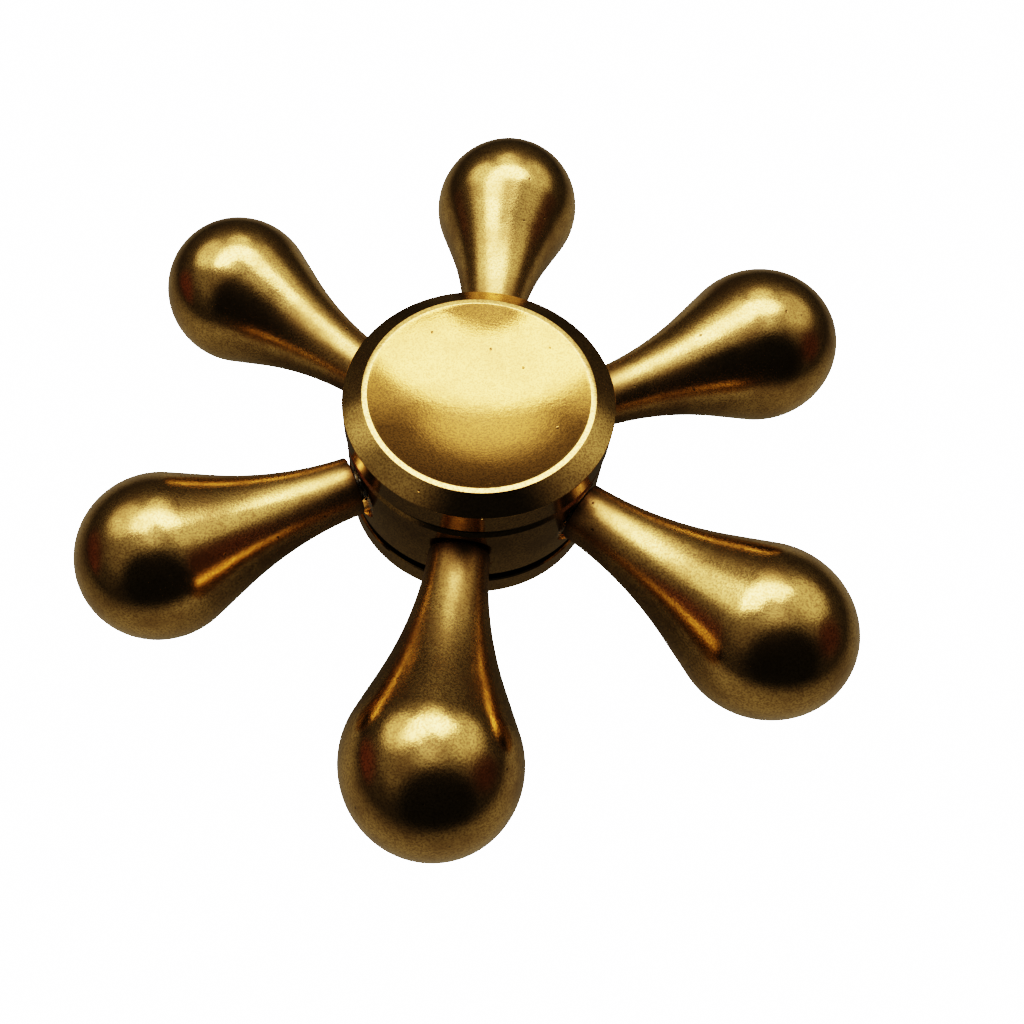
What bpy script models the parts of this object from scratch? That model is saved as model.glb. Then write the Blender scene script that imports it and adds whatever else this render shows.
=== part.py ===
"""Six-arm brass hand spinner.

Two turned brass buttons screw together through the bore of a ball bearing and clamp its inner
ring. The outer ring sits in a brass hub, and six brass drops are held radially in the hub by
threaded steel studs. A finger and a thumb hold the buttons while the hub and its arms spin.

Lengths are in metres. The origin is under the middle of the object, on the plane it stands on,
and the spin axis is +Z. Arm 1 points along -Y and the arms count anticlockwise from above.
"""

import math

import bmesh
import bpy
from mathutils import Matrix, Vector

MM = 0.001

# Overall layout
ARM_COUNT = 6
ARM_PITCH = math.radians(60)
FIRST_ARM_ANGLE = math.radians(-90)
BALL_CIRCLE_R = 29.0 * MM       # spin axis to the middle of each arm's ball end
LOOSE_ARM = 6                   # this arm's stud has backed out of the hub a little
LOOSE_ARM_OUT = 0.3 * MM
LOOSE_ARM_SWING = math.radians(0.85)

# Buttons
CAP_R = 11.55 * MM
CAP_RIM_OUTER_R = 9.81 * MM
CAP_RIM_INNER_R = 9.37 * MM
CAP_RIM_Z = 8.13 * MM           # heights are measured from the middle of the bearing
CAP_BEVEL_Z = 7.12 * MM
CAP_UNDERSIDE_Z = 4.70 * MM
CAP_DISH_DEPTH = 1.57 * MM
CAP_EDGE_CHAMFER = 0.12 * MM

# Hub
HUB_R = 11.45 * MM
HUB_HALF_HEIGHT = 3.85 * MM
HUB_CHAMFER = 0.28 * MM
HUB_LIP_R = 5.65 * MM           # the lip under the bearing's outer ring
SEAT_R = 3.15 * MM              # flat round seat for the neck of each arm
SEAT_DEPTH = 0.40 * MM

# Arms
BALL_R = 7.15 * MM
WAIST_X = 10.75 * MM            # where the hollow curve of the neck would be thinnest
WAIST_R = 2.62 * MM
NECK_CURVE_R = 30.5 * MM
NECK_END_X = 11.35 * MM
NECK_END_CHAMFER = 0.10 * MM

# Threaded studs, M3 x 8 with a hexagon socket
STUD_R = 1.50 * MM
STUD_LENGTH = 8.0 * MM
STUD_START_X = 7.70 * MM
STUD_CHAMFER = 0.30 * MM
STUD_SOCKET_ACROSS_FLATS = 1.50 * MM
STUD_SOCKET_DEPTH = 1.50 * MM
THREAD_HOLE_R = 1.65 * MM
HUB_HOLE_START_X = 7.30 * MM
DROP_HOLE_END_X = 16.1 * MM

# Ball bearing, R188 size
BEARING_BORE_R = 3.175 * MM
BEARING_OUTER_R = 6.35 * MM
BEARING_HALF_WIDTH = 2.381 * MM
INNER_LAND_R = 4.15 * MM
OUTER_LAND_R = 5.40 * MM
PITCH_R = 4.7625 * MM
BEARING_BALL_R = 0.794 * MM
BEARING_BALL_COUNT = 10
GROOVE_R = 0.87 * MM
RING_CHAMFER = 0.20 * MM
CAGE_INNER_R = 4.43 * MM
CAGE_OUTER_R = 5.12 * MM
CAGE_BACK_Z = -1.35 * MM
CAGE_FRONT_Z = 0.45 * MM
CAGE_POCKET_R = 0.90 * MM

# Stems that carry the buttons
SHOULDER_R = 4.05 * MM
SPIGOT_R = 3.02 * MM
SCREW_R = 1.95 * MM
SCREW_HOLE_R = 2.25 * MM
SCREW_TIP_CHAMFER = 0.35 * MM
SCREW_TIP_Z = -2.90 * MM
SCREW_HOLE_END_Z = -3.45 * MM
SPIGOT_MEET_Z = 0.15 * MM

# Clearances
TOUCH_GAP = 0.10 * MM           # between faces that are clamped or pressed together
SPIGOT_END_GAP = 0.30 * MM

CUTTER_OVERHANG = 0.5 * MM      # how far a cutter stands out of what it cuts

# Round shapes: flats round the circle, and points along the arcs
TURNED_STEPS = 48
RING_STEPS = 40
DROP_STEPS = 24
STUD_STEPS = 16
POCKET_STEPS = 16
HEXAGON_STEPS = 6
DISH_ARC_STEPS = 6
GROOVE_ARC_STEPS = 6
NECK_ARC_STEPS = 5
BALL_BACK_ARC_STEPS = 2
BALL_FRONT_ARC_STEPS = 9
BEARING_BALL_SEGMENTS = 12
BEARING_BALL_RINGS = 8
MERGE_DISTANCE = 1e-7
SHARP_ANGLE = math.radians(25)

COLOURS = {
    "brass_satin": ((0.62, 0.44, 0.17), 0.32, 1.0),
    "stud_steel": ((0.52, 0.51, 0.49), 0.28, 1.0),
    "bearing_steel": ((0.60, 0.61, 0.62), 0.12, 1.0),
    "cage_steel": ((0.50, 0.50, 0.50), 0.30, 1.0),
}


def clear_scene():
    for obj in list(bpy.data.objects):
        bpy.data.objects.remove(obj, do_unlink=True)


def make_materials():
    for name, (colour, roughness, metallic) in COLOURS.items():
        material = bpy.data.materials.new(name)
        material.use_nodes = True
        shader = material.node_tree.nodes["Principled BSDF"]
        shader.inputs["Base Color"].default_value = (*colour, 1.0)
        shader.inputs["Roughness"].default_value = roughness
        shader.inputs["Metallic"].default_value = metallic


def new_axis(name, z):
    """An empty on a joint's axis, which carries the pieces that turn about it."""
    axis = bpy.data.objects.new(name, None)
    axis.location = (0.0, 0.0, z)
    bpy.context.collection.objects.link(axis)
    return axis


def new_piece(name, bm, material, parent):
    bmesh.ops.remove_doubles(bm, verts=bm.verts, dist=MERGE_DISTANCE)
    bmesh.ops.recalc_face_normals(bm, faces=bm.faces)
    mesh = bpy.data.meshes.new(name)
    bm.to_mesh(mesh)
    bm.free()
    mesh.shade_smooth()
    mesh.set_sharp_from_angle(angle=SHARP_ANGLE)
    piece = bpy.data.objects.new(name, mesh)
    mesh.materials.append(bpy.data.materials[material])
    bpy.context.collection.objects.link(piece)
    piece.parent = parent
    return piece


def turned(profile, axis, steps):
    """A solid of revolution from (along, radius) points, about the X or the Z axis."""
    bm = bmesh.new()
    if axis == "X":
        points = [Vector((along, 0.0, radius)) for along, radius in profile]
    else:
        points = [Vector((radius, 0.0, along)) for along, radius in profile]
    verts = [bm.verts.new(point) for point in points]
    edges = [bm.edges.new(pair) for pair in zip(verts, verts[1:])]
    if profile[0][1] > 0 or profile[-1][1] > 0:
        edges.append(bm.edges.new((verts[-1], verts[0])))
    direction = Vector((1, 0, 0)) if axis == "X" else Vector((0, 0, 1))
    bmesh.ops.spin(
        bm,
        geom=verts + edges,
        cent=(0, 0, 0),
        axis=direction,
        angle=2 * math.pi,
        steps=steps,
        use_merge=True,
    )
    return bm


def arc(centre, radius, start, end, steps):
    """Points (along, radius) of a circular arc; the angles turn from the along axis to the radius axis."""
    points = []
    for step in range(steps + 1):
        angle = start + (end - start) * step / steps
        points.append((centre[0] + radius * math.cos(angle), centre[1] + radius * math.sin(angle)))
    return points


def add_cutter(name, bm, parent):
    cutter = new_piece(name, bm, "brass_satin", parent)
    cutter.hide_render = True
    cutter.display_type = "WIRE"
    return cutter


def cut(piece, cutter):
    modifier = piece.modifiers.new("cut_" + cutter.name, "BOOLEAN")
    modifier.operation = "DIFFERENCE"
    modifier.solver = "EXACT"
    modifier.object = cutter


def dish_points():
    """The button's spherical finger dish, from its middle out to the rim."""
    sphere_r = (CAP_RIM_INNER_R**2 + CAP_DISH_DEPTH**2) / (2 * CAP_DISH_DEPTH)
    centre_z = CAP_RIM_Z - CAP_DISH_DEPTH + sphere_r
    half_angle = math.asin(CAP_RIM_INNER_R / sphere_r)
    dish = arc((centre_z, 0.0), sphere_r, math.pi, math.pi - half_angle, DISH_ARC_STEPS)
    return [(dish[0][0], 0.0)] + dish[1:-1] + [(CAP_RIM_Z, CAP_RIM_INNER_R)]


def button_outside():
    """The button from the middle of its dish over the rim to the shoulder on its stem."""
    return dish_points() + [
        (CAP_RIM_Z, CAP_RIM_OUTER_R),
        (CAP_BEVEL_Z, CAP_R),
        (CAP_UNDERSIDE_Z + CAP_EDGE_CHAMFER, CAP_R),
        (CAP_UNDERSIDE_Z, CAP_R - CAP_EDGE_CHAMFER),
        (CAP_UNDERSIDE_Z, SHOULDER_R),
        (BEARING_HALF_WIDTH + TOUCH_GAP, SHOULDER_R),
        (BEARING_HALF_WIDTH + TOUCH_GAP, SPIGOT_R),
    ]


def make_top_cap(parent):
    profile = button_outside() + [
        (SPIGOT_MEET_Z + SPIGOT_END_GAP, SPIGOT_R),
        (SPIGOT_MEET_Z + SPIGOT_END_GAP, SCREW_R),
        (SCREW_TIP_Z + SCREW_TIP_CHAMFER, SCREW_R),
        (SCREW_TIP_Z, SCREW_R - SCREW_TIP_CHAMFER),
        (SCREW_TIP_Z, 0.0),
    ]
    new_piece("top_cap", turned(profile, "Z", TURNED_STEPS), "brass_satin", parent)


def make_bottom_cap(parent):
    upright = button_outside() + [
        (-SPIGOT_MEET_Z, SPIGOT_R),
        (-SPIGOT_MEET_Z, SCREW_HOLE_R),
        (-SCREW_HOLE_END_Z, SCREW_HOLE_R),
        (-SCREW_HOLE_END_Z, 0.0),
    ]
    profile = [(-along, radius) for along, radius in upright]
    new_piece("bottom_cap", turned(profile, "Z", TURNED_STEPS), "brass_satin", parent)


def make_hub(parent):
    bearing_seat_r = BEARING_OUTER_R + TOUCH_GAP
    lip_z = -(BEARING_HALF_WIDTH + TOUCH_GAP)
    top = HUB_HALF_HEIGHT
    profile = [
        (top, HUB_R - HUB_CHAMFER),
        (top - HUB_CHAMFER, HUB_R),
        (-top + HUB_CHAMFER, HUB_R),
        (-top, HUB_R - HUB_CHAMFER),
        (-top, HUB_LIP_R),
        (lip_z, HUB_LIP_R),
        (lip_z, bearing_seat_r),
        (top - HUB_CHAMFER, bearing_seat_r),
        (top, bearing_seat_r + HUB_CHAMFER),
    ]
    hub = new_piece("hub_ring", turned(profile, "Z", TURNED_STEPS), "brass_satin", parent)
    for number in range(1, ARM_COUNT + 1):
        floor_x = HUB_R - SEAT_DEPTH
        seat_and_hole = [
            (HUB_HOLE_START_X, 0.0),
            (HUB_HOLE_START_X, THREAD_HOLE_R),
            (floor_x, THREAD_HOLE_R),
            (floor_x, SEAT_R),
            (HUB_R + CUTTER_OVERHANG, SEAT_R),
            (HUB_R + CUTTER_OVERHANG, 0.0),
        ]
        cutter = add_cutter(f"hub_hole_cutter_{number}", turned(seat_and_hole, "X", DROP_STEPS), parent)
        cutter.rotation_euler.z = arm_angle(number)
        cut(hub, cutter)


def arm_angle(number):
    swing = LOOSE_ARM_SWING if number == LOOSE_ARM else 0.0
    return FIRST_ARM_ANGLE + (number - 1) * ARM_PITCH + swing


def arm_shift(number):
    return LOOSE_ARM_OUT if number == LOOSE_ARM else 0.0


def drop_profile():
    """The drop from its blind threaded hole, round the neck's end, along the neck and round the ball.

    A straight cone touches both the ball and the hollow curve of the neck.
    """
    across = BALL_CIRCLE_R - WAIST_X
    curve_centre = (WAIST_X, WAIST_R + NECK_CURVE_R)
    centre_distance = math.hypot(across, curve_centre[1])
    cone_angle = math.atan2(across, curve_centre[1]) - math.acos((BALL_R + NECK_CURVE_R) / centre_distance)
    start_sine = (NECK_END_X + NECK_END_CHAMFER - WAIST_X) / NECK_CURVE_R
    neck = arc(
        curve_centre,
        NECK_CURVE_R,
        -math.pi / 2 + math.asin(start_sine),
        -math.pi / 2 + cone_angle,
        NECK_ARC_STEPS,
    )
    ball_centre = (BALL_CIRCLE_R, 0.0)
    ball_back = arc(ball_centre, BALL_R, math.pi / 2 + cone_angle, math.pi / 2, BALL_BACK_ARC_STEPS)
    ball_front = arc(ball_centre, BALL_R, math.pi / 2, 0.0, BALL_FRONT_ARC_STEPS)
    ball_front[-1] = (BALL_CIRCLE_R + BALL_R, 0.0)
    end_r = neck[0][1] - NECK_END_CHAMFER
    return (
        [(DROP_HOLE_END_X, 0.0), (DROP_HOLE_END_X, THREAD_HOLE_R), (NECK_END_X, THREAD_HOLE_R)]
        + [(NECK_END_X, end_r)]
        + neck
        + ball_back
        + ball_front[1:]
    )


def stud_profile():
    start = STUD_START_X
    end = STUD_START_X + STUD_LENGTH
    return [
        (start, 0.0),
        (start, STUD_R - STUD_CHAMFER),
        (start + STUD_CHAMFER, STUD_R),
        (end - STUD_CHAMFER, STUD_R),
        (end, STUD_R - STUD_CHAMFER),
        (end, 0.0),
    ]


def hexagon_socket():
    """The hexagonal recess in the hub end of a stud."""
    corner_r = STUD_SOCKET_ACROSS_FLATS / 2 / math.cos(math.pi / 6)
    mouth_x = STUD_START_X - CUTTER_OVERHANG
    floor_x = STUD_START_X + STUD_SOCKET_DEPTH
    outline = [(mouth_x, 0.0), (mouth_x, corner_r), (floor_x, corner_r), (floor_x, 0.0)]
    return turned(outline, "X", HEXAGON_STEPS)


def make_arms(parent):
    for number in range(1, ARM_COUNT + 1):
        angle = arm_angle(number)
        outward = Vector((math.cos(angle), math.sin(angle), 0.0))
        drop = new_piece(f"drop_arm_{number}", turned(drop_profile(), "X", DROP_STEPS), "brass_satin", parent)
        stud = new_piece(f"arm_stud_{number}", turned(stud_profile(), "X", STUD_STEPS), "stud_steel", parent)
        socket_cutter = add_cutter(f"socket_cutter_{number}", hexagon_socket(), parent)
        for piece in (drop, stud, socket_cutter):
            piece.location = outward * arm_shift(number)
            piece.rotation_euler.z = angle
        cut(stud, socket_cutter)


def groove(centre_r, side):
    """The rounded ball groove across a race: side +1 for the inner ring, -1 for the outer ring."""
    land_r = INNER_LAND_R if side > 0 else OUTER_LAND_R
    half_width = math.sqrt(GROOVE_R**2 - (centre_r - land_r) ** 2)
    open_angle = math.atan2(half_width, side * (centre_r - land_r))
    points = []
    for step in range(GROOVE_ARC_STEPS + 1):
        angle = open_angle - 2 * open_angle * step / GROOVE_ARC_STEPS
        points.append((GROOVE_R * math.sin(angle), centre_r - side * GROOVE_R * math.cos(angle)))
    return points


def ring_profile(outside_r, bore_r, groove_side):
    """A bearing ring, running down its outside and up its bore; the groove is on one of the two."""
    top = BEARING_HALF_WIDTH
    outside = [(top, outside_r - RING_CHAMFER), (top - RING_CHAMFER, outside_r)]
    outside_end = [(-top + RING_CHAMFER, outside_r), (-top, outside_r - RING_CHAMFER)]
    bore = [(-top, bore_r + RING_CHAMFER), (-top + RING_CHAMFER, bore_r)]
    bore_end = [(top - RING_CHAMFER, bore_r), (top, bore_r + RING_CHAMFER)]
    groove_points = groove(PITCH_R, groove_side)
    if groove_side > 0:
        return outside + groove_points + outside_end + bore + bore_end
    return outside + outside_end + bore + groove_points[::-1] + bore_end


def make_bearing(inner_parent, outer_parent, cage_parent):
    inner = ring_profile(INNER_LAND_R, BEARING_BORE_R, 1)
    outer = ring_profile(BEARING_OUTER_R, OUTER_LAND_R, -1)
    new_piece("bearing_inner_ring", turned(inner, "Z", RING_STEPS), "bearing_steel", inner_parent)
    new_piece("bearing_outer_ring", turned(outer, "Z", RING_STEPS), "bearing_steel", outer_parent)

    cage_section = [
        (CAGE_FRONT_Z, CAGE_OUTER_R),
        (CAGE_BACK_Z, CAGE_OUTER_R),
        (CAGE_BACK_Z, CAGE_INNER_R),
        (CAGE_FRONT_Z, CAGE_INNER_R),
    ]
    cage = new_piece("bearing_cage", turned(cage_section, "Z", RING_STEPS), "cage_steel", cage_parent)
    pocket = [
        (CAGE_INNER_R - CUTTER_OVERHANG, 0.0),
        (CAGE_INNER_R - CUTTER_OVERHANG, CAGE_POCKET_R),
        (CAGE_OUTER_R + CUTTER_OVERHANG, CAGE_POCKET_R),
        (CAGE_OUTER_R + CUTTER_OVERHANG, 0.0),
    ]
    for number in range(1, BEARING_BALL_COUNT + 1):
        angle = 2 * math.pi * (number - 1) / BEARING_BALL_COUNT
        cutter = add_cutter(f"pocket_cutter_{number:02d}", turned(pocket, "X", POCKET_STEPS), cage_parent)
        cutter.rotation_euler.z = angle
        cut(cage, cutter)

        bm = bmesh.new()
        bmesh.ops.create_uvsphere(
            bm,
            u_segments=BEARING_BALL_SEGMENTS,
            v_segments=BEARING_BALL_RINGS,
            radius=BEARING_BALL_R,
        )
        ball = new_piece(f"bearing_ball_{number:02d}", bm, "bearing_steel", cage_parent)
        ball.location = Matrix.Rotation(angle, 3, "Z") @ Vector((PITCH_R, 0.0, 0.0))


clear_scene()
make_materials()
held_axis = new_axis("held_axis", CAP_RIM_Z)
spin_axis = new_axis("spin_axis", CAP_RIM_Z)
cage_axis = new_axis("cage_axis", CAP_RIM_Z)
make_top_cap(held_axis)
make_bottom_cap(held_axis)
make_hub(spin_axis)
make_arms(spin_axis)
make_bearing(held_axis, spin_axis, cage_axis)
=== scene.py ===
"""The looks of a six-arm brass hand spinner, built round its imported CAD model.

Lengths are in metres. The frame's origin is on the table under the hub, +Z is the spin axis and
arm 1 points along -Y. Each section below makes one piece, or one group of like pieces.
"""

import math

import bpy
from mathutils import Euler, Matrix, Vector


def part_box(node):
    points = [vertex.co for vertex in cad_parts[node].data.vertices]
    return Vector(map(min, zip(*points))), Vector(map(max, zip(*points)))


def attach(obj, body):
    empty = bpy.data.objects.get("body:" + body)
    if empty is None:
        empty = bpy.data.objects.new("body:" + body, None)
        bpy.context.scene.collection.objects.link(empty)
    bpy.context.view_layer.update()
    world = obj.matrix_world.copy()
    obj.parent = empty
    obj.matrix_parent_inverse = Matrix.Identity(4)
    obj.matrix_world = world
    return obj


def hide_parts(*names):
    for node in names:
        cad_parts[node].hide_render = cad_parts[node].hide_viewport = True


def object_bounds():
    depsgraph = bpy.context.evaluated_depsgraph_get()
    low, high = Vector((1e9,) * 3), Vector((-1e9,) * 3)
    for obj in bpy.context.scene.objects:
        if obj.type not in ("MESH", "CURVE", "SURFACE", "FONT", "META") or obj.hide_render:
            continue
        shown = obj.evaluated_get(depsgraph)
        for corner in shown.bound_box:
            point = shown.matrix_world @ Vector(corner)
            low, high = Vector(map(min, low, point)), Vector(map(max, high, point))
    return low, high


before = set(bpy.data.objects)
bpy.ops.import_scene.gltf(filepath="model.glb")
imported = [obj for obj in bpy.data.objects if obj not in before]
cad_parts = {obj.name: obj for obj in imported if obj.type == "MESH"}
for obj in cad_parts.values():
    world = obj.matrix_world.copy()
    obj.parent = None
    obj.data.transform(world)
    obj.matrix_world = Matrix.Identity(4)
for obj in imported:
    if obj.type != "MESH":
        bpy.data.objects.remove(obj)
cad_low, cad_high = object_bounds()

MM = 0.001
MIDDLE_Z = (cad_low.z + cad_high.z) / 2     # the arms and the bearing lie at this height

# ---------------------------------------------------------------------------------------------
# Camera: hand-held close over the near arm, looking down at about 58 degrees.
# The lens is a little wider than normal and the sensor is shifted to frame the whole spinner.

CAMERA_PLACE = Vector((2.44, -49.62, 79.45)) * MM + Vector((0, 0, MIDDLE_Z))
CAMERA_TURN = Euler((math.radians(31.341), math.radians(1.312), math.radians(8.806)), "XYZ")
CAMERA_LENS = 36.365
CAMERA_SENSOR_WIDTH = 36.0
CAMERA_SHIFT_X, CAMERA_SHIFT_Y = 0.1122, -0.0582
CAMERA_NEAREST = 1 * MM

bpy.ops.object.camera_add(location=CAMERA_PLACE, rotation=CAMERA_TURN)
camera = bpy.context.object
camera.name = "camera"
camera.data.lens = CAMERA_LENS
camera.data.sensor_width = CAMERA_SENSOR_WIDTH
camera.data.shift_x = CAMERA_SHIFT_X
camera.data.shift_y = CAMERA_SHIFT_Y
camera.data.clip_start = CAMERA_NEAREST
bpy.context.scene.camera = camera
bpy.context.scene.view_settings.view_transform = "Filmic"
bpy.context.scene.view_settings.look = "High Contrast"

# ---------------------------------------------------------------------------------------------
# Studio: a pale table and backdrop, and one broad soft light bent round the back like a blind.
# The light is the only bright thing that the metal mirrors. The room in it is dim, darkest in
# front, with a pale wall on either side, and the table in it is darker far away and carries a painted
# shadow of the spinner near the hub.

LIGHT_LOW_R, LIGHT_LOW_Z = 126 * MM, 163 * MM       # lower edge of the light, above the arms
LIGHT_HIGH_R, LIGHT_HIGH_Z = 46 * MM, 218 * MM
LIGHT_START, LIGHT_END = math.radians(41), math.radians(183)
LIGHT_FADE = 9 * MM                                 # the light dims towards its lower edge
LIGHT_STRENGTH = 5.3
LIGHT_TINT = (1.0, 0.87, 0.68)
LIGHT_STEPS = 40
TABLE_SIZE = 3.0
TABLE_COLOUR = (0.93, 0.93, 0.93, 1)
TABLE_ROUGHNESS = 0.9
TABLE_BRIGHTNESS = 12.0
TABLE_Z = -0.02 * MM                                # a hair below the rim that stands on it
BACKDROP_R = 1.4
MIRRORED_TABLE_SIZE = 0.6
MIRRORED_TABLE_Z = -0.04 * MM
# The glowing table that only the metal mirrors: its dark ring near the hub is a painted shadow of the spinner
TABLE_SEEN_IN_METAL = (                             # distance from the hub's axis in mm, and lightness
    (13, 0.07),
    (16, 0.05),
    (22, 0.06),
    (28, 0.14),
    (37, 0.23),
    (46, 0.22),
    (60, 0.16),
    (90, 0.08),
    (150, 0.03),
)
ROOM_BELOW = 0.17
ROOM_BY_HEIGHT = (                                  # sine of the elevation, and how light the room is
    (-0.50, 0.175),
    (-0.34, 0.14),
    (-0.20, 0.08),
    (-0.07, 0.045),
    (0.12, 0.05),
    (0.34, 0.075),
    (0.50, 0.16),
    (0.70, 0.20),
    (0.90, 0.24),
    (0.97, 0.46),
    (1.00, 0.95),
)
ROOM_TINT = (1.00, 0.89, 0.68)
# Soft spots in the room: azimuth, elevation, radii of the core and the edge in degrees, and colour
PALE_WALL_RIGHT = (34, 47, 10, 30, (0.85, 0.75, 0.54))
PALE_WALL_LEFT = (154, 47, 8, 25, (1.5, 1.32, 0.96))
WARM_WOOD_LEFT = (-172, 2, 6, 24, (0.11, 0.045, 0.03))
WARM_WOOD_RIGHT = (-8, 20, 6, 24, (0.07, 0.032, 0.02))
GLOW_UNDER_LIGHT = (96, 50, 2, 18, (1.4, 1.22, 0.88))
DARK_IN_FRONT = (-74, 28, 34, 56, (0.010, 0.009, 0.008))

bpy.ops.mesh.primitive_plane_add(size=TABLE_SIZE, location=(0, 0, TABLE_Z))
floor = bpy.context.object
floor.name = "pale_table"
floor.visible_glossy = False
floor_material = bpy.data.materials.new("pale_table")
floor_material.use_nodes = True
floor_shader = floor_material.node_tree.nodes["Principled BSDF"]
floor_shader.inputs["Base Color"].default_value = TABLE_COLOUR
floor_shader.inputs["Roughness"].default_value = TABLE_ROUGHNESS
floor_shader.inputs["Emission Color"].default_value = (1, 1, 1, 1)
floor_shader.inputs["Emission Strength"].default_value = TABLE_BRIGHTNESS
floor.data.materials.append(floor_material)


def add_node(tree, kind, inputs=None, **settings):
    """Adds a shader node, sets its settings, and sets or links each of its inputs."""
    node = tree.nodes.new(kind)
    for setting, value in settings.items():
        setattr(node, setting, value)
    for socket, value in (inputs or {}).items():
        if isinstance(value, bpy.types.NodeSocket):
            tree.links.new(value, node.inputs[socket])
        else:
            node.inputs[socket].default_value = value
    return node


def fade(tree, value, start, end):
    """A smooth step: 0 where the value is at start, 1 where it is at end."""
    node = add_node(
        tree,
        "ShaderNodeMapRange",
        {"Value": value, "From Min": start, "From Max": end},
        interpolation_type="SMOOTHSTEP",
    )
    return node.outputs["Result"]


def mix(tree, factor, a, b):
    """Two colours mixed by a factor."""
    return add_node(tree, "ShaderNodeMix", {"Factor": factor, 6: a, 7: b}, data_type="RGBA").outputs[2]


def tinted(lightness):
    """The room's colour at a lightness."""
    return (*(lightness * channel for channel in ROOM_TINT), 1)


bpy.ops.object.select_all(action="DESELECT")
bpy.ops.mesh.primitive_plane_add(size=1 * MM, location=(0, 0, 0))
blind = bpy.context.object
blind.name = "curved_light"
bpy.ops.object.mode_set(mode="EDIT")
bpy.ops.mesh.merge(type="CENTER")
low_edge, high_edge = LIGHT_LOW_Z + MIDDLE_Z, LIGHT_HIGH_Z + MIDDLE_Z
low = Vector((LIGHT_LOW_R * math.cos(LIGHT_START), LIGHT_LOW_R * math.sin(LIGHT_START), low_edge))
high = Vector((LIGHT_HIGH_R * math.cos(LIGHT_START), LIGHT_HIGH_R * math.sin(LIGHT_START), high_edge))
bpy.ops.transform.translate(value=low)
bpy.ops.mesh.extrude_vertices_move(TRANSFORM_OT_translate={"value": high - low})
bpy.ops.mesh.select_all(action="SELECT")
bpy.ops.mesh.spin(steps=LIGHT_STEPS, angle=LIGHT_START - LIGHT_END, center=(0, 0, 0), axis=(0, 0, 1))
bpy.ops.object.mode_set(mode="OBJECT")
blind.visible_camera = False
blind.visible_shadow = False
blind.visible_diffuse = False
blind_material = bpy.data.materials.new("curved_light")
blind_material.use_nodes = True
tree = blind_material.node_tree
tree.nodes.remove(tree.nodes["Principled BSDF"])
place = add_node(tree, "ShaderNodeSeparateXYZ", {0: add_node(tree, "ShaderNodeTexCoord").outputs["Object"]})
low_fade = fade(tree, place.outputs["Z"], low_edge - 0.2 * LIGHT_FADE, low_edge + LIGHT_FADE)
strength = add_node(tree, "ShaderNodeMath", {0: low_fade, 1: LIGHT_STRENGTH}, operation="MULTIPLY")
glow = add_node(tree, "ShaderNodeEmission", {"Color": (*LIGHT_TINT, 1), "Strength": strength.outputs[0]})
tree.links.new(glow.outputs[0], tree.nodes["Material Output"].inputs["Surface"])
blind.data.materials.append(blind_material)

bpy.ops.mesh.primitive_uv_sphere_add(segments=64, ring_count=32, radius=BACKDROP_R)
backdrop = bpy.context.object
backdrop.name = "pale_backdrop"
backdrop.visible_glossy = False
backdrop.visible_diffuse = False
backdrop.visible_shadow = False
backdrop_material = bpy.data.materials.new("pale_backdrop")
backdrop_material.use_nodes = True
backdrop_shader = backdrop_material.node_tree.nodes["Principled BSDF"]
backdrop_shader.inputs["Base Color"].default_value = TABLE_COLOUR
backdrop_shader.inputs["Emission Color"].default_value = (1, 1, 1, 1)
backdrop_shader.inputs["Emission Strength"].default_value = TABLE_BRIGHTNESS
backdrop_material.cycles.emission_sampling = "NONE"
backdrop.data.materials.append(backdrop_material)

# A glowing sheet seen only in the metal: the table, with a painted shadow of the spinner round the hub
bpy.ops.mesh.primitive_plane_add(size=MIRRORED_TABLE_SIZE, location=(0, 0, MIRRORED_TABLE_Z))
shaded_table = bpy.context.object
shaded_table.name = "table_seen_in_metal"
shaded_table.visible_camera = False
shaded_table.visible_shadow = False
shaded_table.visible_diffuse = False
shaded_material = bpy.data.materials.new("table_seen_in_metal")
shaded_material.use_nodes = True
tree = shaded_material.node_tree
tree.nodes.remove(tree.nodes["Principled BSDF"])
on_table = add_node(tree, "ShaderNodeTexCoord").outputs["Object"]
spread = add_node(tree, "ShaderNodeVectorMath", {0: on_table}, operation="LENGTH")
farthest = TABLE_SEEN_IN_METAL[-1][0] * MM
outward = add_node(tree, "ShaderNodeMapRange", {"Value": spread.outputs["Value"], "From Max": farthest})
shade = add_node(tree, "ShaderNodeValToRGB", {"Fac": outward.outputs["Result"]})
ramp = shade.color_ramp.elements
ramp.remove(ramp[1])
ramp[0].color = tinted(TABLE_SEEN_IN_METAL[0][1])
for radius, lightness in TABLE_SEEN_IN_METAL:
    ramp.new(radius * MM / farthest).color = tinted(lightness)
glow = add_node(tree, "ShaderNodeEmission", {"Color": shade.outputs["Color"]})
tree.links.new(glow.outputs[0], tree.nodes["Material Output"].inputs["Surface"])
shaded_table.data.materials.append(shaded_material)

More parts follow.
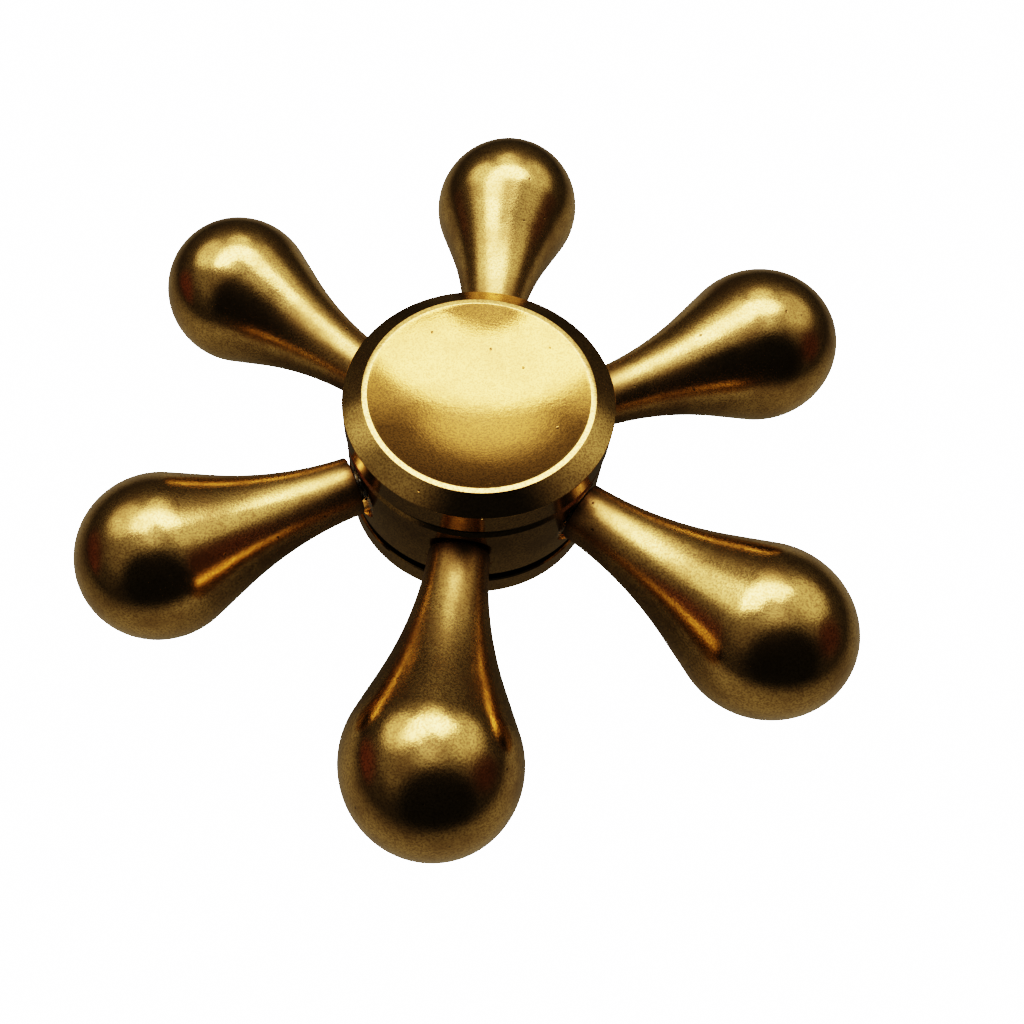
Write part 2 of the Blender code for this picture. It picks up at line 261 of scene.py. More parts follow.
world = bpy.data.worlds.new("dim_room")
bpy.context.scene.world = world
world.use_nodes = True
tree = world.node_tree
towards = add_node(tree, "ShaderNodeTexCoord").outputs["Generated"]
height = add_node(tree, "ShaderNodeSeparateXYZ", {0: towards}).outputs["Z"]
unit_height = add_node(tree, "ShaderNodeMapRange", {"Value": height, "From Min": -1.0}).outputs["Result"]
room = add_node(tree, "ShaderNodeValToRGB", {"Fac": unit_height})
ramp = room.color_ramp.elements
ramp.remove(ramp[1])
ramp[0].color = tinted(ROOM_BELOW)
for sine, lightness in ROOM_BY_HEIGHT:
    ramp.new((sine + 1) / 2).color = tinted(lightness)
light = room.outputs["Color"]
for azimuth, elevation, core, edge, colour in (
    PALE_WALL_RIGHT,
    PALE_WALL_LEFT,
    WARM_WOOD_LEFT,
    WARM_WOOD_RIGHT,
    GLOW_UNDER_LIGHT,
    DARK_IN_FRONT,
):
    spot = Euler((0, -math.radians(elevation), math.radians(azimuth))).to_matrix() @ Vector((1, 0, 0))
    nearness = add_node(tree, "ShaderNodeVectorMath", {0: towards, 1: spot}, operation="DOT_PRODUCT")
    inside = fade(tree, nearness.outputs["Value"], math.cos(math.radians(edge)), math.cos(math.radians(core)))
    light = mix(tree, inside, light, (*colour, 1))
tree.links.new(light, tree.nodes["Background"].inputs["Color"])

# ---------------------------------------------------------------------------------------------
# Drop arms: solid brass turned from bar - a ball, a cone and a long hollow curve down to a slim
# neck with a flat end. Tumbled to a satin finish, tarnished brown in patches and where fingers
# don't rub. Towards the hub the necks are painted darker: brown with tarnish and painted shade,
# then black with painted shade where they meet the hub.

NECK_END_X = 11.35 * MM
NECK_END_CHAMFER = 0.10 * MM
WAIST_X = 10.75 * MM
WAIST_R = 2.62 * MM
NECK_CURVE_R = 30.5 * MM
THREAD_HOLE_R = 1.65 * MM
DROP_HOLE_END_X = 16.1 * MM
BALL_CENTRE_X = 29.0 * MM
BALL_R = 7.15 * MM
STUD_MIDDLE_X = 11.7 * MM
DROP_STEPS = 128
NECK_ARC_STEPS = 24
BALL_ARC_STEPS = 44
SMOOTH_ANGLE = math.radians(25)
WELD = 1e-7                                         # points closer than this are one point

BRASS = (0.80, 0.55, 0.22)
BRASS_BROWN = (0.34, 0.205, 0.08)
# Colour of the pits, also used for the black painted shade where the necks meet the hub
BRASS_PIT_AND_SHADE = (0.10, 0.05, 0.02)
GRAIN_SIZE = 0.16 * MM
BLOTCH_SIZE = 0.7 * MM
PATCH_SIZE = 3.2 * MM
PIT_SPACING = 1.7 * MM
PIT_R = 0.15 * MM
PIT_SHARE = 0.35                                    # of the places where a pit could be
PIT_DEPTH = 0.02 * MM
RIPPLE_SIZE = 0.55 * MM
RIPPLE_PATCH_SIZE = 7.0 * MM
TURNING_MARK_SIZE = 0.16 * MM
# Darkening of the necks by distance from the spin axis: black with painted shade inside the first, brown with
# tarnish and painted shade at the second, plain outside the third, rubbed smooth outside the fourth
DROP_STAIN_AND_SHADE = (11.6 * MM, 12.8 * MM, 18.0 * MM, 27.0 * MM)


def arc(centre, radius, start, end, steps):
    """Points (along, radius) on an arc, its angles in radians from the along axis."""
    turn = (end - start) / steps
    return [
        (centre[0] + radius * math.cos(start + turn * i), centre[1] + radius * math.sin(start + turn * i))
        for i in range(steps + 1)
    ]


def turned(name, outline, axis, steps):
    """Turns an outline of (along, radius) points round the X or Z axis through the origin.

    A plane is merged to one point, drawn out into the outline by extruding, and spun.
    """
    to_space = (lambda a, r: Vector((a, 0, r))) if axis == "X" else (lambda a, r: Vector((r, 0, a)))
    points = [to_space(*p) for p in outline]
    if outline[0][1] > 0 or outline[-1][1] > 0:
        points.append(points[0])
    bpy.ops.object.select_all(action="DESELECT")
    bpy.ops.mesh.primitive_plane_add(size=1 * MM, location=(0, 0, 0))
    piece = bpy.context.object
    piece.name = piece.data.name = name
    bpy.ops.object.mode_set(mode="EDIT")
    bpy.ops.mesh.select_all(action="SELECT")
    bpy.ops.mesh.merge(type="CENTER")
    bpy.ops.transform.translate(value=points[0])
    for here, there in zip(points, points[1:]):
        bpy.ops.mesh.extrude_vertices_move(TRANSFORM_OT_translate={"value": there - here})
    bpy.ops.mesh.select_all(action="SELECT")
    direction = (1, 0, 0) if axis == "X" else (0, 0, 1)
    bpy.ops.mesh.spin(steps=steps, angle=2 * math.pi, center=(0, 0, 0), axis=direction)
    bpy.ops.mesh.select_all(action="SELECT")
    bpy.ops.mesh.remove_doubles(threshold=WELD)
    bpy.ops.mesh.normals_make_consistent(inside=False)
    bpy.ops.object.mode_set(mode="OBJECT")
    return piece


def put_in_place(piece, matrix):
    """Moves a piece by moving its mesh, so that its object stays at the origin."""
    piece.data.transform(matrix)
    piece.data.update()


def copy_of(piece):
    """A copy of a piece with a mesh of its own."""
    twin = piece.copy()
    twin.data = piece.data.copy()
    bpy.context.collection.objects.link(twin)
    return twin


def drop_outline():
    """The drop from its blind hole, round the neck's end, along the neck and round the ball."""
    across = BALL_CENTRE_X - WAIST_X
    curve_centre = (WAIST_X, WAIST_R + NECK_CURVE_R)
    reach = math.hypot(across, curve_centre[1])
    cone = math.atan2(across, curve_centre[1]) - math.acos((BALL_R + NECK_CURVE_R) / reach)
    start = math.asin((NECK_END_X + NECK_END_CHAMFER - WAIST_X) / NECK_CURVE_R)
    neck = arc(curve_centre, NECK_CURVE_R, start - math.pi / 2, cone - math.pi / 2, NECK_ARC_STEPS)
    ball = arc((BALL_CENTRE_X, 0), BALL_R, math.pi / 2 + cone, 0, BALL_ARC_STEPS)
    ball[-1] = (BALL_CENTRE_X + BALL_R, 0)
    hole = [(DROP_HOLE_END_X, 0), (DROP_HOLE_END_X, THREAD_HOLE_R), (NECK_END_X, THREAD_HOLE_R)]
    return hole + [(NECK_END_X, neck[0][1] - NECK_END_CHAMFER)] + neck + ball


def metal(name, colour, roughness):
    """A new metal, with its node tree, its shader and the point being coloured."""
    material = bpy.data.materials.new(name)
    material.use_nodes = True
    tree = material.node_tree
    shader = tree.nodes["Principled BSDF"]
    shader.inputs["Base Color"].default_value = (*colour, 1)
    shader.inputs["Metallic"].default_value = 1
    shader.inputs["Roughness"].default_value = roughness
    point = add_node(tree, "ShaderNodeTexCoord").outputs["Object"]
    return material, tree, shader, point


def noise(tree, point, size, detail=2.0):
    """Noise whose features are about the given size across."""
    node = add_node(tree, "ShaderNodeTexNoise", {"Vector": point, "Scale": 1 / size, "Detail": detail})
    return node.outputs["Fac"]


def axis_distance(tree, point):
    """How far the point is from the spin axis."""
    flat = add_node(tree, "ShaderNodeVectorMath", {0: point, 1: (1, 1, 0)}, operation="MULTIPLY")
    return add_node(tree, "ShaderNodeVectorMath", {0: flat.outputs[0]}, operation="LENGTH").outputs["Value"]


def product(tree, a, b):
    """Two values multiplied."""
    return add_node(tree, "ShaderNodeMath", {0: a, 1: b}, operation="MULTIPLY").outputs[0]


def bumped(tree, height, distance, normal=None, **settings):
    """A surface raised by a height between 0 and 1, over an earlier bump where there is one."""
    inputs = {"Height": height, "Distance": distance}
    if normal:
        inputs["Normal"] = normal
    return add_node(tree, "ShaderNodeBump", inputs, **settings).outputs[0]


def pits_at(tree, point, spacing, radius, share):
    """1 inside small round pits, one in some of the cells of a random packing, 0 elsewhere."""
    cells = add_node(tree, "ShaderNodeTexVoronoi", {"Vector": point, "Scale": 1 / spacing})
    inside = fade(tree, cells.outputs["Distance"], radius / spacing, 0.4 * radius / spacing)
    chosen = add_node(tree, "ShaderNodeSeparateColor", {0: cells.outputs["Color"]}).outputs["Red"]
    keep = add_node(tree, "ShaderNodeMath", {0: chosen, 1: share}, operation="LESS_THAN").outputs[0]
    return product(tree, inside, keep)


def satin_brass(name, roughness, grain, tarnish, brass=BRASS, stain_and_shade=None, rings=0.0, ripples=0.0):
    """Brass with a fine grain, a patchy brown tarnish and a few pits; grain is the grain's height.

    stain_and_shade is four distances from the spin axis: black with painted shade inside the first,
    brown with tarnish and painted shade at the second, plain outside the third, and rubbed smooth
    outside the fourth.
    rings is the height of the fine rings that a lathe tool leaves, and ripples that of the small
    waves that show in patches.
    """
    material, tree, shader, point = metal(name, brass, roughness)
    brown_brass, pit_and_shade_brass = (*BRASS_BROWN, 1), (*BRASS_PIT_AND_SHADE, 1)
    fine = noise(tree, point, GRAIN_SIZE, 3)
    patches = noise(tree, point, PATCH_SIZE, 4)
    blotches = noise(tree, point, BLOTCH_SIZE, 3)
    colour = mix(tree, product(tree, fade(tree, patches, 0.42, 0.72), tarnish), (*brass, 1), brown_brass)
    colour = mix(tree, product(tree, fade(tree, blotches, 0.45, 0.75), 0.6 * tarnish), colour, brown_brass)
    colour = mix(tree, product(tree, fade(tree, fine, 0.40, 0.66), 0.75), colour, brown_brass)
    if stain_and_shade:
        black_r, brown_r, plain_r, smooth_r = stain_and_shade
        distance = axis_distance(tree, point)
        # Brown towards the hub: tarnish and painted shade
        brown = fade(tree, distance, plain_r, brown_r)
        colour = mix(tree, product(tree, brown, 0.45), colour, brown_brass)
        # Black at the neck's end by the hub: painted shade
        black = fade(tree, distance, brown_r, black_r)
        colour = mix(tree, product(tree, black, 0.8), colour, pit_and_shade_brass)
    pits = pits_at(tree, point, PIT_SPACING, PIT_R, PIT_SHARE)
    colour = mix(tree, product(tree, pits, 0.8), colour, pit_and_shade_brass)
    tree.links.new(colour, shader.inputs["Base Color"])
    least, most = roughness - 0.03, roughness + 0.05
    rough = add_node(
        tree,
        "ShaderNodeMapRange",
        {"Value": patches, "From Min": 0.3, "From Max": 0.7, "To Min": least, "To Max": most},
    ).outputs["Result"]
    if stain_and_shade:
        dull = product(tree, fade(tree, distance, smooth_r, brown_r), 0.12)
        rough = add_node(tree, "ShaderNodeMath", {0: rough, 1: dull}, operation="ADD").outputs[0]
    tree.links.new(rough, shader.inputs["Roughness"])
    bump = bumped(tree, fine, grain)
    bump = bumped(tree, pits, PIT_DEPTH, bump, invert=True)
    if ripples:
        wave = noise(tree, point, RIPPLE_SIZE, 1)
        where = fade(tree, noise(tree, point, RIPPLE_PATCH_SIZE, 0), 0.46, 0.60)
        bump = bumped(tree, product(tree, wave, where), ripples, bump)
    if rings:
        lines = add_node(
            tree,
            "ShaderNodeTexNoise",
            {"W": axis_distance(tree, point), "Scale": 1 / TURNING_MARK_SIZE, "Detail": 1.0},
            noise_dimensions="1D",
        )
        bump = bumped(tree, lines.outputs["Fac"], rings, bump)
    tree.links.new(bump, shader.inputs["Normal"])
    return material


def arm_matrix(number):
    """Where an arm lies: its own length along X is turned and moved to match its CAD node."""
    low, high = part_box(f"arm_stud_{number}")
    middle = (low + high) / 2
    outward = Vector((middle.x, middle.y, 0))
    extra = outward.length - STUD_MIDDLE_X
    turned_out = Matrix.Rotation(math.atan2(outward.y, outward.x), 4, "Z")
    return Matrix.Translation((0, 0, MIDDLE_Z)) @ turned_out @ Matrix.Translation((extra, 0, 0))


drop_brass = satin_brass("drop_brass", 0.18, 0.0070 * MM, 0.60, stain_and_shade=DROP_STAIN_AND_SHADE)
first_drop = turned("drop_arm", drop_outline(), "X", DROP_STEPS)
bpy.ops.object.shade_smooth_by_angle(angle=SMOOTH_ANGLE)
first_drop.data.materials.append(drop_brass)
for number in range(1, 7):
    drop = first_drop if number == 6 else copy_of(first_drop)
    drop.name = drop.data.name = f"drop_arm_{number}_turned"
    put_in_place(drop, arm_matrix(number))
    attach(drop, "rotor")
    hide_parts(f"drop_arm_{number}")

# ---------------------------------------------------------------------------------------------
# Arm studs: M3 x 8 steel grub screws with a cup end and a hexagon socket, one through each neck.
# Their threads hold the drops on the hub. The front left one has backed out and shows a little.

STUD_R = 1.50 * MM
STUD_LENGTH = 8.0 * MM
STUD_START_X = STUD_MIDDLE_X - STUD_LENGTH / 2
STUD_CHAMFER = 0.30 * MM
STUD_SOCKET_ACROSS_FLATS = 1.50 * MM
STUD_SOCKET_DEPTH = 1.50 * MM
STUD_CUP_R = 0.60 * MM
STUD_CUP_DEPTH = 0.35 * MM
STUD_PITCH = 0.50 * MM
STUD_THREAD_DEPTH = 0.30 * MM
STUD_STEPS = 40
STATIONS_PER_PITCH = 8
CUTTER_OVERHANG = 1 * MM
DRILL_POINT = 0.3 * MM
STUD_STEEL = (0.62, 0.61, 0.58)


def straight(start, end, radius, steps):
    """Evenly spaced points along a straight cylindrical stretch, without its last one."""
    return [(start + (end - start) * i / steps, radius) for i in range(steps)]


def cut_thread(piece, axis, start, end, crest_r, pitch, depth):
    """Sinks a V-shaped helical groove into the round stretch between start and end."""
    along_axis = 0 if axis == "X" else 2
    for vertex in piece.data.vertices:
        along = vertex.co[along_axis]
        off_axis = Vector(c for i, c in enumerate(vertex.co) if i != along_axis)
        if start < along < end and off_axis.length > crest_r - depth:
            turn = math.atan2(off_axis[1], off_axis[0]) / (2 * math.pi)
            phase = ((along - start) / pitch + turn) % 1
            groove = 1 - min(1, abs(phase - 0.5) / 0.42)
            run_out = min(1, (along - start) / pitch, (end - along) / pitch)
            scale = 1 - depth * groove * run_out / crest_r
            for i in range(3):
                if i != along_axis:
                    vertex.co[i] *= scale
    piece.data.update()


def apply_cut(piece, cutter):
    """Cuts one piece with another, and takes the cutter away."""
    bpy.ops.object.select_all(action="DESELECT")
    piece.select_set(True)
    bpy.context.view_layer.objects.active = piece
    modifier = piece.modifiers.new("cut", "BOOLEAN")
    modifier.operation = "DIFFERENCE"
    modifier.solver = "EXACT"
    modifier.object = cutter
    bpy.ops.object.modifier_apply(modifier=modifier.name)
    bpy.data.objects.remove(cutter, do_unlink=True)


def steel(name, colour, roughness):
    """Bright steel with faint machining and a thin smoky film in patches."""
    material, tree, shader, point = metal(name, colour, roughness)
    film = noise(tree, point, 0.9 * MM, 3)
    fine = noise(tree, point, 0.08 * MM, 2)
    dull = tuple(0.55 * channel for channel in colour)
    shade = mix(tree, product(tree, fade(tree, film, 0.4, 0.75), 0.5), (*colour, 1), (*dull, 1))
    tree.links.new(shade, shader.inputs["Base Color"])
    least, most = 0.7 * roughness, 1.4 * roughness
    rough = add_node(
        tree,
        "ShaderNodeMapRange",
        {"Value": fine, "From Min": 0.3, "From Max": 0.7, "To Min": least, "To Max": most},
    )
    tree.links.new(rough.outputs["Result"], shader.inputs["Roughness"])
    tree.links.new(bumped(tree, fine, 0.0008 * MM), shader.inputs["Normal"])
    return material


stud_end_x = STUD_START_X + STUD_LENGTH
thread_start, thread_end = STUD_START_X + STUD_CHAMFER, stud_end_x - STUD_CHAMFER
thread_steps = round((thread_end - thread_start) / STUD_PITCH * STATIONS_PER_PITCH)
stud_outline = [(STUD_START_X, 0), (STUD_START_X, STUD_R - STUD_CHAMFER)]
stud_outline += straight(thread_start, thread_end, STUD_R, thread_steps)
stud_outline += [
    (thread_end, STUD_R),
    (stud_end_x, STUD_R - STUD_CHAMFER),
    (stud_end_x, STUD_CUP_R),
    (stud_end_x - STUD_CUP_DEPTH, 0),
]
first_stud = turned("arm_stud", stud_outline, "X", STUD_STEPS)
cut_thread(first_stud, "X", thread_start, thread_end, STUD_R, STUD_PITCH, STUD_THREAD_DEPTH)
corner_r = STUD_SOCKET_ACROSS_FLATS / 2 / math.cos(math.radians(30))
socket_end_x = STUD_START_X + STUD_SOCKET_DEPTH
socket_mouth_x = STUD_START_X - CUTTER_OVERHANG
socket = [
    (socket_mouth_x, 0),
    (socket_mouth_x, corner_r),
    (socket_end_x, corner_r),
    (socket_end_x + DRILL_POINT, 0),
]
apply_cut(first_stud, turned("hexagon_key", socket, "X", 6))
bpy.ops.object.shade_smooth_by_angle(angle=SMOOTH_ANGLE)
first_stud.data.materials.append(steel("stud_steel", STUD_STEEL, 0.24))
for number in range(1, 7):
    stud = first_stud if number == 6 else copy_of(first_stud)
    stud.name = stud.data.name = f"arm_stud_{number}_threaded"
    put_in_place(stud, arm_matrix(number))
    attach(stud, "rotor")
    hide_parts(f"arm_stud_{number}")

# ---------------------------------------------------------------------------------------------
# Hub ring: a thick brass ring bored for the bearing, with six flat round seats and tapped holes
# for the necks. Its outer edges are chamfered and polished bright by the lathe.

HUB_R = 11.45 * MM
HUB_HALF_HEIGHT = 3.85 * MM
HUB_CHAMFER = 0.28 * MM
HUB_LIP_R = 5.65 * MM
HUB_LIP_Z = -2.48 * MM
BEARING_SEAT_R = 6.45 * MM
SEAT_R = 3.15 * MM
SEAT_DEPTH = 0.40 * MM
HUB_HOLE_START_X = 7.30 * MM
CRISP_ANGLE = math.radians(15)
ROUND_STEPS = 192
HUB_SEAT_STEPS = 64

hub_outline = [
    (HUB_HALF_HEIGHT, HUB_R - HUB_CHAMFER),
    (HUB_HALF_HEIGHT - HUB_CHAMFER, HUB_R),
    (-HUB_HALF_HEIGHT + HUB_CHAMFER, HUB_R),
    (-HUB_HALF_HEIGHT, HUB_R - HUB_CHAMFER),
    (-HUB_HALF_HEIGHT, HUB_LIP_R),
    (HUB_LIP_Z, HUB_LIP_R),
    (HUB_LIP_Z, BEARING_SEAT_R),
    (HUB_HALF_HEIGHT - HUB_CHAMFER, BEARING_SEAT_R),
    (HUB_HALF_HEIGHT, BEARING_SEAT_R + HUB_CHAMFER),
]


def shade_crisply(piece):
    """Smooth shading that stays flat up to the corners, as on a part off the lathe."""
    bpy.context.view_layer.objects.active = piece
    bpy.ops.object.shade_smooth_by_angle(angle=CRISP_ANGLE)
    bpy.ops.object.modifier_add(type="WEIGHTED_NORMAL")
    weighted = piece.modifiers[-1]
    weighted.keep_sharp = True
    bpy.ops.object.modifier_apply(modifier=weighted.name)


hub = turned("hub_ring_turned", hub_outline, "Z", ROUND_STEPS)
put_in_place(hub, Matrix.Translation((0, 0, MIDDLE_Z)))
seat_floor_x = HUB_R - SEAT_DEPTH
seat_and_hole = [
    (HUB_HOLE_START_X, 0),
    (HUB_HOLE_START_X, THREAD_HOLE_R),
    (seat_floor_x, THREAD_HOLE_R),
    (seat_floor_x, SEAT_R),
    (HUB_R + CUTTER_OVERHANG, SEAT_R),
    (HUB_R + CUTTER_OVERHANG, 0),
]
for number in range(1, 7):
    cutter = turned("end_mill", seat_and_hole, "X", HUB_SEAT_STEPS)
    direction = arm_matrix(number).to_euler().z
    put_in_place(cutter, Matrix.Translation((0, 0, MIDDLE_Z)) @ Matrix.Rotation(direction, 4, "Z"))
    apply_cut(hub, cutter)
shade_crisply(hub)
hub.data.materials.append(satin_brass("hub_brass", 0.12, 0.0030 * MM, 0.45))
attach(hub, "rotor")
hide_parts("hub_ring")

# ---------------------------------------------------------------------------------------------
# Buttons: two turned brass buttons with a hollow for the fingertip, a narrow polished rim and a
# wide bevel. The upper one's threaded stem screws into the lower one through the bearing.

CAP_R = 11.55 * MM
CAP_RIM_OUTER_R = 9.81 * MM
CAP_RIM_INNER_R = 9.37 * MM
CAP_RIM_Z = 8.13 * MM
CAP_BEVEL_Z = 7.12 * MM
CAP_UNDERSIDE_Z = 4.70 * MM
CAP_DISH_DEPTH = 1.57 * MM
CAP_EDGE_CHAMFER = 0.12 * MM
CAP_EDGE_ROUND = 0.06 * MM
SHOULDER_R = 4.05 * MM
SHOULDER_Z = 2.481 * MM
SPIGOT_R = 3.02 * MM
SCREW_R = 1.95 * MM
SCREW_PITCH = 0.50 * MM
SCREW_THREAD_DEPTH = 0.28 * MM
SCREW_HOLE_R = 2.25 * MM
SCREW_TIP_CHAMFER = 0.35 * MM
SCREW_TIP_Z = -2.90 * MM
SCREW_HOLE_END_Z = -3.45 * MM
SPIGOT_TOP_Z = 0.45 * MM
SPIGOT_BOTTOM_Z = 0.15 * MM
DISH_STEPS = 32
DENT_STEPS = 12
# Two small marks from use: distance from the axis, height, azimuth in degrees, and size
DENT_ON_BEVEL = (10.65 * MM, 7.69 * MM, -110, 0.13 * MM)
NICK_ON_EDGE = (11.55 * MM, 7.13 * MM, -82, 0.12 * MM)
DISH_BRASS = (0.74, 0.43, 0.135)
SIDE, DISH, RIM, BEVEL = range(4)                   # a button's finishes


def eased(before, corner, after, size):
    """Three points that take the sharp point off a corner."""
    before, corner, after = (Vector(p) for p in (before, corner, after))
    entry = corner + (before - corner).normalized() * size
    leave = corner + (after - corner).normalized() * size
    return [tuple(entry), tuple((entry + leave + 2 * corner) / 4), tuple(leave)]


def button_outline():
    """The button from the middle of its hollow, over the rim and down to the stem's shoulder."""
    sphere_r = (CAP_RIM_INNER_R**2 + CAP_DISH_DEPTH**2) / (2 * CAP_DISH_DEPTH)
    half_angle = math.asin(CAP_RIM_INNER_R / sphere_r)
    sphere_centre = (CAP_RIM_Z - CAP_DISH_DEPTH + sphere_r, 0)
    dish = arc(sphere_centre, sphere_r, math.pi, math.pi - half_angle, DISH_STEPS)
    rim_in = (CAP_RIM_Z, CAP_RIM_INNER_R)
    rim_out = (CAP_RIM_Z, CAP_RIM_OUTER_R)
    bevel = (CAP_BEVEL_Z, CAP_R)
    side = (CAP_UNDERSIDE_Z + CAP_EDGE_CHAMFER, CAP_R)
    return (
        [(dish[0][0], 0)]
        + dish[1:-1]
        + eased(dish[-2], rim_in, rim_out, CAP_EDGE_ROUND / 2)
        + eased(rim_in, rim_out, bevel, CAP_EDGE_ROUND / 2)
        + eased(rim_out, bevel, side, CAP_EDGE_ROUND)
        + [side, (CAP_UNDERSIDE_Z, CAP_R - CAP_EDGE_CHAMFER), (CAP_UNDERSIDE_Z, SHOULDER_R)]
        + [(SHOULDER_Z, SHOULDER_R), (SHOULDER_Z, SPIGOT_R)]
    )


dish_brass = satin_brass(
    "dish_brass", 0.12, 0.0040 * MM, 0.32, brass=DISH_BRASS, rings=0.0012 * MM, ripples=0.005 * MM
)
rim_brass = satin_brass("rim_brass", 0.10, 0.0010 * MM, 0.05)
bevel_brass = satin_brass("bevel_brass", 0.11, 0.0030 * MM, 0.40)
side_brass = satin_brass("side_brass", 0.09, 0.0015 * MM, 0.30)


def finish_button(button, flip, node):
    """Sets the button's surface finishes by where its faces lie, and rides it on the held body."""
    shade_crisply(button)
    for finish in (side_brass, dish_brass, rim_brass, bevel_brass):
        button.data.materials.append(finish)
    for face in button.data.polygons:
        radius, height = face.center.xy.length, face.center.z
        if radius < CAP_RIM_INNER_R - CAP_EDGE_ROUND / 2 and height > CAP_UNDERSIDE_Z:
            face.material_index = DISH
        elif height > CAP_BEVEL_Z - CAP_EDGE_ROUND:
            face.material_index = RIM if radius < CAP_RIM_OUTER_R + CAP_EDGE_ROUND / 2 else BEVEL
        else:
            face.material_index = SIDE
    turn = Matrix.Rotation(math.pi, 4, "X") if flip else Matrix.Identity(4)
    put_in_place(button, Matrix.Translation((0, 0, MIDDLE_Z)) @ turn)
    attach(button, "held_buttons")
    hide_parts(node)


screw_start, screw_end = SPIGOT_TOP_Z, SCREW_TIP_Z + SCREW_TIP_CHAMFER
screw_steps = round((screw_start - screw_end) / SCREW_PITCH * STATIONS_PER_PITCH)
stem = [(SPIGOT_TOP_Z, SPIGOT_R)] + straight(screw_start, screw_end, SCREW_R, screw_steps)
stem += [(screw_end, SCREW_R), (SCREW_TIP_Z, SCREW_R - SCREW_TIP_CHAMFER), (SCREW_TIP_Z, 0)]
top_button = turned("top_cap_turned", button_outline() + stem, "Z", ROUND_STEPS)
cut_thread(top_button, "Z", screw_end, screw_start, SCREW_R, SCREW_PITCH, SCREW_THREAD_DEPTH)
for radius, height, azimuth, size in (DENT_ON_BEVEL, NICK_ON_EDGE):
    dent = turned("dent", arc((0, 0), size, math.pi, 0, DENT_STEPS), "X", 16)
    round_to_place = Matrix.Rotation(math.radians(azimuth), 4, "Z")
    put_in_place(dent, round_to_place @ Matrix.Translation((radius, 0, height)))
    apply_cut(top_button, dent)
finish_button(top_button, False, "top_cap")

socket_stem = [
    (-SPIGOT_BOTTOM_Z, SPIGOT_R),
    (-SPIGOT_BOTTOM_Z, SCREW_HOLE_R),
    (-SCREW_HOLE_END_Z, SCREW_HOLE_R),
    (-SCREW_HOLE_END_Z, 0),
]
bottom_button = turned("bottom_cap_turned", button_outline() + socket_stem, "Z", ROUND_STEPS)
finish_button(bottom_button, True, "bottom_cap")

# ---------------------------------------------------------------------------------------------
# Bearing: an R188 ball bearing, two ground steel rings with a ball groove each, ten balls, and a
# pressed steel cage that keeps the balls apart. The hub holds its outer ring.

BEARING_BORE_R = 3.175 * MM
BEARING_OUTER_R = 6.35 * MM
BEARING_HALF_WIDTH = 2.381 * MM
INNER_LAND_R = 4.15 * MM
OUTER_LAND_R = 5.40 * MM
PITCH_R = 4.7625 * MM
BEARING_BALL_R = 0.794 * MM
BEARING_BALL_COUNT = 10
GROOVE_R = 0.87 * MM
RING_CHAMFER = 0.20 * MM
CAGE_INNER_R = 4.43 * MM
CAGE_OUTER_R = 5.12 * MM
CAGE_BACK_Z = -1.35 * MM
CAGE_FRONT_Z = 0.45 * MM
CAGE_EDGE = 0.08 * MM
CAGE_POCKET_R = 0.90 * MM
PUNCH_OVERHANG = 0.3 * MM
BEARING_STEPS = 128
GROOVE_STEPS = 20
BALL_STEPS = 16
PUNCH_STEPS = 32
BEARING_STEEL = (0.66, 0.66, 0.67)
CAGE_STEEL = (0.55, 0.54, 0.52)


def groove_points(land_r, side):
    """The ball groove across a ring: side is 1 for the inner ring and -1 for the outer ring."""
    half_width = math.sqrt(GROOVE_R**2 - (PITCH_R - land_r) ** 2)
    opening = math.atan2(half_width, side * (PITCH_R - land_r))
    start, end = math.pi / 2 - opening, math.pi / 2 + opening
    groove = arc((0, PITCH_R), GROOVE_R, start, end, GROOVE_STEPS)
    return [(along, PITCH_R - side * (radius - PITCH_R)) for along, radius in groove]


def ring_outline(outside_r, bore_r, groove, groove_outside):
    """A bearing ring, running down its outside and up its bore."""
    top, edge = BEARING_HALF_WIDTH, RING_CHAMFER
    outside_top = [(top, outside_r - edge), (top - edge, outside_r)]
    outside_bottom = [(-top + edge, outside_r), (-top, outside_r - edge)]
    bore_bottom = [(-top, bore_r + edge), (-top + edge, bore_r)]
    bore_top = [(top - edge, bore_r), (top, bore_r + edge)]
    if groove_outside:
        return outside_top + groove + outside_bottom + bore_bottom + bore_top
    return outside_top + outside_bottom + bore_bottom + groove[::-1] + bore_top


bearing_steel = steel("bearing_steel", BEARING_STEEL, 0.10)
cage_steel = steel("cage_steel", CAGE_STEEL, 0.26)
middle = Matrix.Translation((0, 0, MIDDLE_Z))

inner_outline = ring_outline(INNER_LAND_R, BEARING_BORE_R, groove_points(INNER_LAND_R, 1), True)
outer_outline = ring_outline(BEARING_OUTER_R, OUTER_LAND_R, groove_points(OUTER_LAND_R, -1), False)
for outline, node, body in (
    (inner_outline, "bearing_inner_ring", "held_buttons"),
    (outer_outline, "bearing_outer_ring", "rotor"),
):
    ring = turned(node + "_ground", outline, "Z", BEARING_STEPS)
    bpy.ops.object.shade_smooth_by_angle(angle=SMOOTH_ANGLE)
    put_in_place(ring, middle)
    ring.data.materials.append(bearing_steel)
    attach(ring, body)
    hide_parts(node)

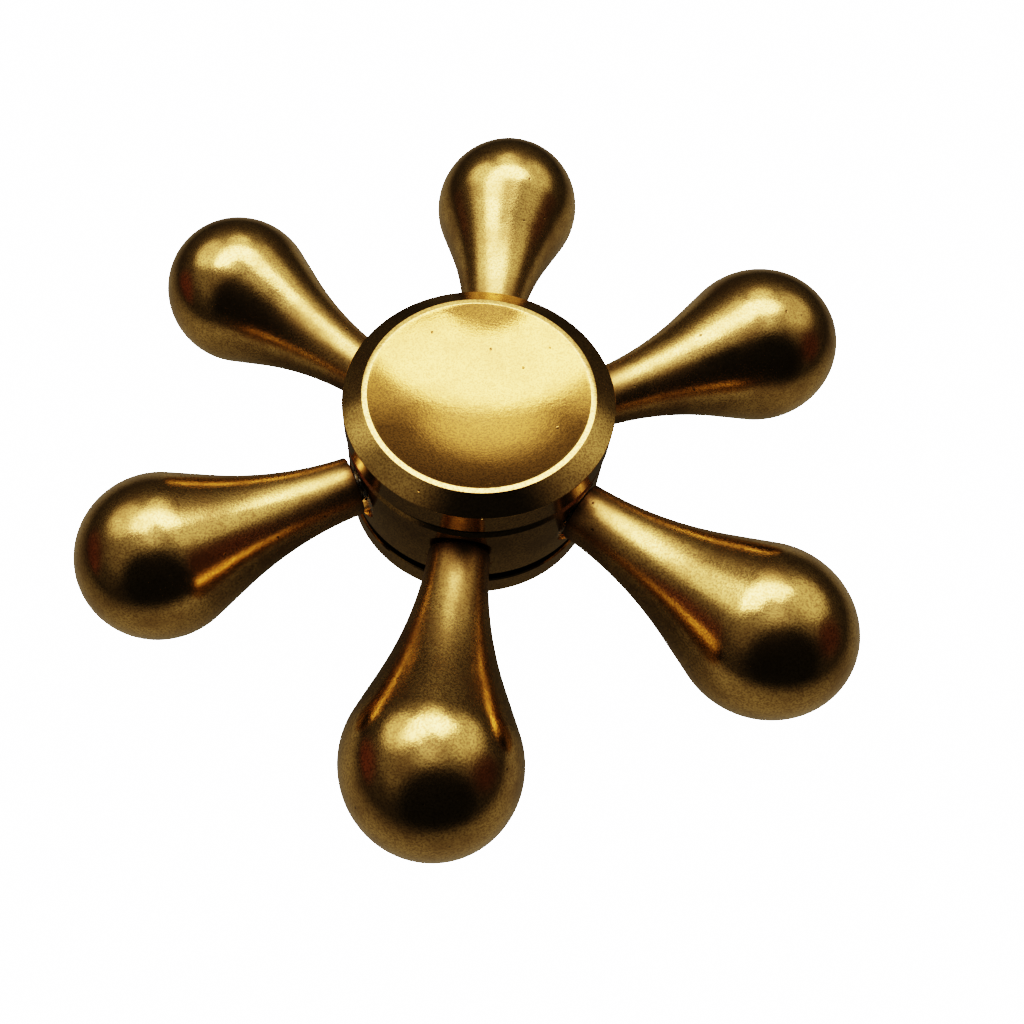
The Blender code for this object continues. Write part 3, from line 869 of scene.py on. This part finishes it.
cage_outline = [
    (CAGE_FRONT_Z, CAGE_OUTER_R - CAGE_EDGE),
    (CAGE_FRONT_Z - CAGE_EDGE, CAGE_OUTER_R),
    (CAGE_BACK_Z + CAGE_EDGE, CAGE_OUTER_R),
    (CAGE_BACK_Z, CAGE_OUTER_R - CAGE_EDGE),
    (CAGE_BACK_Z, CAGE_INNER_R + CAGE_EDGE),
    (CAGE_BACK_Z + CAGE_EDGE, CAGE_INNER_R),
    (CAGE_FRONT_Z - CAGE_EDGE, CAGE_INNER_R),
    (CAGE_FRONT_Z, CAGE_INNER_R + CAGE_EDGE),
]
pocket_outline = [
    (CAGE_INNER_R - PUNCH_OVERHANG, 0),
    (CAGE_INNER_R - PUNCH_OVERHANG, CAGE_POCKET_R),
    (CAGE_OUTER_R + PUNCH_OVERHANG, CAGE_POCKET_R),
    (CAGE_OUTER_R + PUNCH_OVERHANG, 0),
]
cage = turned("bearing_cage_pressed", cage_outline, "Z", BEARING_STEPS)
for number in range(BEARING_BALL_COUNT):
    punch = turned("pocket_punch", pocket_outline, "X", PUNCH_STEPS)
    put_in_place(punch, Matrix.Rotation(math.tau * number / BEARING_BALL_COUNT, 4, "Z"))
    apply_cut(cage, punch)
bpy.ops.object.shade_smooth_by_angle(angle=SMOOTH_ANGLE)
put_in_place(cage, middle)
cage.data.materials.append(cage_steel)
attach(cage, "ball_cage")
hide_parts("bearing_cage")

first_ball = turned("bearing_ball", arc((0, 0), BEARING_BALL_R, math.pi, 0, BALL_STEPS), "X", 2 * BALL_STEPS)
bpy.ops.object.shade_smooth_by_angle(angle=SMOOTH_ANGLE)
first_ball.data.materials.append(bearing_steel)
for number in range(1, BEARING_BALL_COUNT + 1):
    ball = first_ball if number == BEARING_BALL_COUNT else copy_of(first_ball)
    ball.name = ball.data.name = f"bearing_ball_{number:02d}_ground"
    low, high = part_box(f"bearing_ball_{number:02d}")
    put_in_place(ball, Matrix.Translation((low + high) / 2))
    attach(ball, f"ball_{number:02d}")
    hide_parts(f"bearing_ball_{number:02d}")
